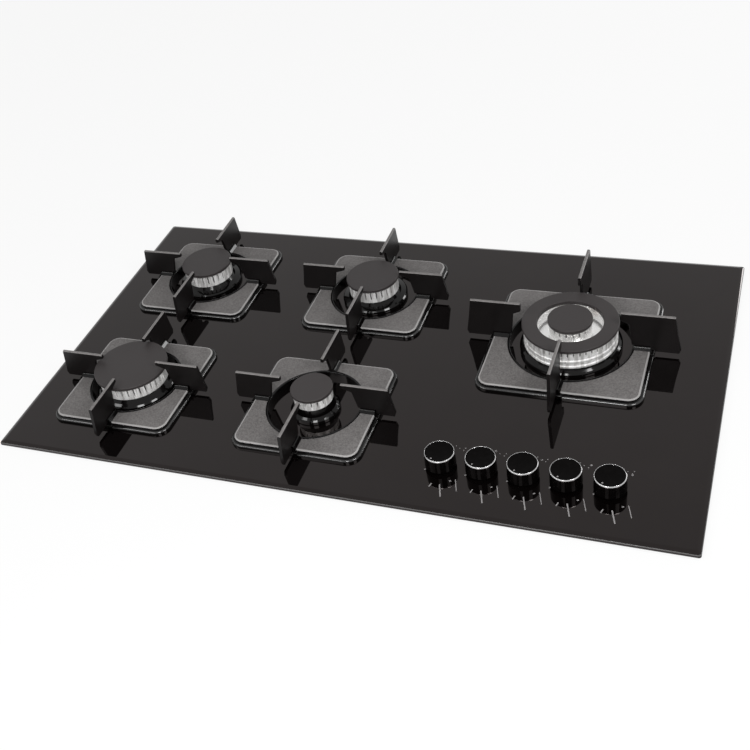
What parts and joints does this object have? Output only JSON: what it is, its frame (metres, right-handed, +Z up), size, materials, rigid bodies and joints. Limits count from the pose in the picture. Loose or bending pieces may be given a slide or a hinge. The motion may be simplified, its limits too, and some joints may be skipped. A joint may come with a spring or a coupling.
{
  "type": "gas cooktop",
  "caption": "Built-in glass gas cooktop: square pan supports with upright fins over capped burners, a triple-crown wok burner, push-and-turn knobs and a closed tray below.",
  "frame": {"origin": "under the middle of the glass, at the level of the tray's underside", "axes": "+X to the user's right along the long side, +Y to the back, +Z up"},
  "size_m": [0.86, 0.5, 0.1115],
  "materials": {
    "black_glass": "polished black toughened glass",
    "seal_foam": "matte closed-cell foam",
    "tray_steel": "zinc-coated sheet",
    "base_enamel": "glossy black enamel on cast aluminium",
    "bright_aluminium": "bright cast and machined",
    "cap_enamel": "matte dark grey enamel",
    "plate_enamel": "textured matte grey enamel, gloss black edge",
    "fin_iron": "satin black enamel",
    "knob_plastic": "glossy black",
    "chrome": "polished",
    "brass": "turned",
    "valve_alloy": "die-cast, satin",
    "rail_steel": "zinc-plated",
    "tube_aluminium": "drawn, satin",
    "white_ceramic": "glazed ceramic",
    "probe_steel": "heat-tinted",
    "dark_plastic": "moulded, matte",
    "grey_plastic": "moulded, matte",
    "zinc_steel": "zinc-plated",
    "spring_steel": "drawn wire"
  },
  "bodies": {
    "root": {"glass_top": "black_glass", "edge_seal": "seal_foam", "bottom_tray": "tray_steel", "burner_base_front_left": "base_enamel", "burner_base_front_middle": "base_enamel", "burner_bases_rear": "base_enamel", "burner_base_wok": "base_enamel", "gas_rail": "rail_steel", "inlet_elbow": "brass", "valve_bodies": "valve_alloy", "gas_tubes": "tube_aluminium", "injectors": "brass", "spark_electrodes": "white_ceramic", "thermocouples": "probe_steel", "ignition_module": "dark_plastic", "mains_terminal": "grey_plastic", "worktop_clamps": "zinc_steel", "screws": "zinc_steel", "stem_springs": "spring_steel"},
    "plug_1": {"valve_plug_1": "brass"},
    "knob_1": {"knob_1": "knob_plastic", "knob_ring_1": "chrome", "valve_stem_1": "brass"},
    "plug_2": {"valve_plug_2": "brass"},
    "knob_2": {"knob_2": "knob_plastic", "knob_ring_2": "chrome", "valve_stem_2": "brass"},
    "plug_3": {"valve_plug_3": "brass"},
    "knob_3": {"knob_3": "knob_plastic", "knob_ring_3": "chrome", "valve_stem_3": "brass"},
    "plug_4": {"valve_plug_4": "brass"},
    "knob_4": {"knob_4": "knob_plastic", "knob_ring_4": "chrome", "valve_stem_4": "brass"},
    "plug_5": {"valve_plug_5": "brass"},
    "knob_5": {"knob_5": "knob_plastic", "knob_ring_5": "chrome", "valve_stem_5": "brass"},
    "support_front_left": {"pan_plate_front_left": "plate_enamel", "pan_fins_front_left": "fin_iron"},
    "crown_front_left": {"flame_crown_front_left": "bright_aluminium"},
    "cap_front_left": {"burner_cap_front_left": "cap_enamel"},
    "support_front_middle": {"pan_plate_front_middle": "plate_enamel", "pan_fins_front_middle": "fin_iron"},
    "crown_front_middle": {"flame_crown_front_middle": "bright_aluminium"},
    "cap_front_middle": {"burner_cap_front_middle": "cap_enamel"},
    "support_rear_left": {"pan_plate_rear_left": "plate_enamel", "pan_fins_rear_left": "fin_iron"},
    "crown_rear_left": {"flame_crown_rear_left": "bright_aluminium"},
    "cap_rear_left": {"burner_cap_rear_left": "cap_enamel"},
    "support_rear_middle": {"pan_plate_rear_middle": "plate_enamel", "pan_fins_rear_middle": "fin_iron"},
    "crown_rear_middle": {"flame_crown_rear_middle": "bright_aluminium"},
    "cap_rear_middle": {"burner_cap_rear_middle": "cap_enamel"},
    "support_wok": {"pan_plate_wok": "plate_enamel", "pan_fins_wok": "fin_iron"},
    "crown_wok": {"flame_crown_wok": "bright_aluminium"},
    "cap_wok_ring": {"burner_cap_wok_ring": "cap_enamel"},
    "cap_wok_centre": {"burner_cap_wok_centre": "cap_enamel"}
  },
  "joints": [
    {"name": "turn_1", "type": "hinge", "parent": "root", "child": "plug_1", "pos_m": [0.138, -0.1795, 0.024], "axis": [0, 0, 1], "range_deg": [0, 210]},
    {"name": "push_1", "type": "slide", "parent": "plug_1", "child": "knob_1", "axis": [0, 0, -1], "range_m": [0, 0.003], "stiffness_N_per_m": 400, "springref_m": -0.005, "deforming": ["stem_springs"]},
    {"name": "turn_2", "type": "hinge", "parent": "root", "child": "plug_2", "pos_m": [0.1855, -0.1795, 0.024], "axis": [0, 0, 1], "range_deg": [0, 210]},
    {"name": "push_2", "type": "slide", "parent": "plug_2", "child": "knob_2", "axis": [0, 0, -1], "range_m": [0, 0.003], "stiffness_N_per_m": 400, "springref_m": -0.005, "deforming": ["stem_springs"]},
    {"name": "turn_3", "type": "hinge", "parent": "root", "child": "plug_3", "pos_m": [0.233, -0.1795, 0.024], "axis": [0, 0, 1], "range_deg": [0, 210]},
    {"name": "push_3", "type": "slide", "parent": "plug_3", "child": "knob_3", "axis": [0, 0, -1], "range_m": [0, 0.003], "stiffness_N_per_m": 400, "springref_m": -0.005, "deforming": ["stem_springs"]},
    {"name": "turn_4", "type": "hinge", "parent": "root", "child": "plug_4", "pos_m": [0.2805, -0.1795, 0.024], "axis": [0, 0, 1], "range_deg": [0, 210]},
    {"name": "push_4", "type": "slide", "parent": "plug_4", "child": "knob_4", "axis": [0, 0, -1], "range_m": [0, 0.003], "stiffness_N_per_m": 400, "springref_m": -0.005, "deforming": ["stem_springs"]},
    {"name": "turn_5", "type": "hinge", "parent": "root", "child": "plug_5", "pos_m": [0.328, -0.1795, 0.024], "axis": [0, 0, 1], "range_deg": [0, 210]},
    {"name": "push_5", "type": "slide", "parent": "plug_5", "child": "knob_5", "axis": [0, 0, -1], "range_m": [0, 0.003], "stiffness_N_per_m": 400, "springref_m": -0.005, "deforming": ["stem_springs"]},
    {"name": "lift_support_front_left", "type": "slide", "parent": "root", "child": "support_front_left", "axis": [0, 0, 1], "range_m": [0, 0.08]},
    {"name": "lift_crown_front_left", "type": "slide", "parent": "root", "child": "crown_front_left", "axis": [0, 0, 1], "range_m": [0, 0.001]},
    {"name": "lift_cap_front_left", "type": "slide", "parent": "crown_front_left", "child": "cap_front_left", "axis": [0, 0, 1], "range_m": [0, 0.001]},
    {"name": "lift_support_front_middle", "type": "slide", "parent": "root", "child": "support_front_middle", "axis": [0, 0, 1], "range_m": [0, 0.08]},
    {"name": "lift_crown_front_middle", "type": "slide", "parent": "root", "child": "crown_front_middle", "axis": [0, 0, 1], "range_m": [0, 0.05]},
    {"name": "lift_cap_front_middle", "type": "slide", "parent": "crown_front_middle", "child": "cap_front_middle", "axis": [0, 0, 1], "range_m": [0, 0.03]},
    {"name": "lift_support_rear_left", "type": "slide", "parent": "root", "child": "support_rear_left", "axis": [0, 0, 1], "range_m": [0, 0.08]},
    {"name": "lift_crown_rear_left", "type": "slide", "parent": "root", "child": "crown_rear_left", "axis": [0, 0, 1], "range_m": [0, 0.05]},
    {"name": "lift_cap_rear_left", "type": "slide", "parent": "crown_rear_left", "child": "cap_rear_left", "axis": [0, 0, 1], "range_m": [0, 0.03]},
    {"name": "lift_support_rear_middle", "type": "slide", "parent": "root", "child": "support_rear_middle", "axis": [0, 0, 1], "range_m": [0, 0.08]},
    {"name": "lift_crown_rear_middle", "type": "slide", "parent": "root", "child": "crown_rear_middle", "axis": [0, 0, 1], "range_m": [0, 0.05]},
    {"name": "lift_cap_rear_middle", "type": "slide", "parent": "crown_rear_middle", "child": "cap_rear_middle", "axis": [0, 0, 1], "range_m": [0, 0.03]},
    {"name": "lift_support_wok", "type": "slide", "parent": "root", "child": "support_wok", "axis": [0, 0, 1], "range_m": [0, 0.08]},
    {"name": "lift_crown_wok", "type": "slide", "parent": "root", "child": "crown_wok", "axis": [0, 0, 1], "range_m": [0, 0.05]},
    {"name": "lift_cap_wok_ring", "type": "slide", "parent": "crown_wok", "child": "cap_wok_ring", "axis": [0, 0, 1], "range_m": [0, 0.03]},
    {"name": "lift_cap_wok_centre", "type": "slide", "parent": "crown_wok", "child": "cap_wok_centre", "axis": [0, 0, 1], "range_m": [0, 0.03]}
  ]
}
